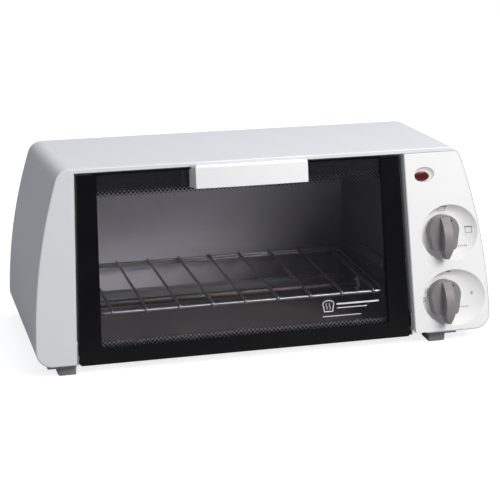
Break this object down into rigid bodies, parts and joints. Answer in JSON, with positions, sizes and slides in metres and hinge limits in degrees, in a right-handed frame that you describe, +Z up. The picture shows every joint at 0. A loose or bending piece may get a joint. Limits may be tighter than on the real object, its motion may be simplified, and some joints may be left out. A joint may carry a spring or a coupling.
{
  "type": "toaster oven",
  "caption": "Compact countertop toaster oven: painted steel wrap with bowed sides, leaning glass door with a bar handle, wire rack, crumb tray, and a panel with knobs in dished wells.",
  "frame": {"origin": "under the middle of the oven, on the surface that its feet stand on", "axes": "+X to the oven's right as seen from the front, +Y to its back, +Z up; the door faces -Y"},
  "size_m": [0.4178, 0.192, 0.1784],
  "materials": {
    "white_enamel": "semi-gloss white enamel, fine orange peel",
    "white_plastic": "moulded, satin gloss",
    "black_enamel": "semi-gloss black",
    "galvanised": "dull rolled zinc",
    "door_glass": "clear tempered glass with a black printed border",
    "bright_wire": "bright plated wire",
    "warm_grey_plastic": "fine moulded grain",
    "foot_grey_plastic": "matte",
    "red_lens": "clear red, moulded",
    "black_plastic": "matte",
    "zinc_screw": "zinc plated",
    "element_sheath": "dark oxidised sheath",
    "ceramic": "unglazed ceramic",
    "lead_sleeve": "heat-proof sleeve"
  },
  "bodies": {
    "housing": {"outer_wrap": "white_enamel", "back_panel": "galvanised", "back_panel_screws": "zinc_screw", "base_plate": "galvanised", "front_frame": "galvanised", "cavity_left_wall": "galvanised", "cavity_right_wall": "galvanised", "cavity_ceiling": "galvanised", "cavity_back_wall": "galvanised", "upper_element": "element_sheath", "lower_element": "element_sheath", "element_insulators": "ceramic", "control_panel": "white_plastic", "control_panel_screws": "zinc_screw", "indicator_lens": "red_lens", "indicator_lamp": "black_plastic", "mode_switch": "black_plastic", "timer_body": "galvanised", "timer_bell": "galvanised", "thermal_cutout": "black_plastic", "terminal_block": "black_plastic", "timer_lead": "lead_sleeve", "switch_lead": "lead_sleeve", "cord_gland": "black_plastic", "hinge_bracket_left": "zinc_screw", "hinge_bracket_right": "zinc_screw", "foot_screws": "zinc_screw", "foot_front_left": "foot_grey_plastic", "foot_front_right": "foot_grey_plastic", "foot_rear_left": "foot_grey_plastic", "foot_rear_right": "foot_grey_plastic"},
    "door": {"door_glass": "door_glass", "door_rail_left": "black_enamel", "door_rail_right": "black_enamel", "door_rail_bottom": "black_enamel", "door_handle": "white_plastic", "door_handle_screws": "zinc_screw", "door_hinge_pins": "zinc_screw"},
    "rack": {"wire_rack": "bright_wire"},
    "crumb_tray": {"crumb_tray": "galvanised"},
    "mode_control": {"mode_knob": "warm_grey_plastic", "mode_shaft": "zinc_screw"},
    "timer_control": {"timer_knob": "warm_grey_plastic", "timer_shaft": "zinc_screw"}
  },
  "joints": [
    {"name": "door_hinge", "type": "hinge", "parent": "housing", "child": "door", "pos_m": [-0.01925, -0.07616, 0.01417], "axis": [1, 0, 0], "range_deg": [0, 90]},
    {"name": "rack_slide", "type": "slide", "parent": "housing", "child": "rack", "axis": [0, -1, 0], "range_m": [0, 0.036]},
    {"name": "mode_knob_turn", "type": "hinge", "parent": "housing", "child": "mode_control", "pos_m": [0.165, -0.06829, 0.101], "axis": [0, 0.9813, -0.1925], "range_deg": [0, 90]},
    {"name": "timer_knob_turn", "type": "hinge", "parent": "housing", "child": "timer_control", "pos_m": [0.165, -0.07967, 0.043], "axis": [0, 0.9813, -0.1925], "range_deg": [0, 300]},
    {"name": "crumb_tray_slide", "type": "slide", "parent": "housing", "child": "crumb_tray", "axis": [0, 1, 0], "range_m": [0, 0.12]}
  ],
  "couplings": [
    {"joint": "rack_slide", "follows": "door_hinge", "m_per_rad": 0.022}
  ]
}
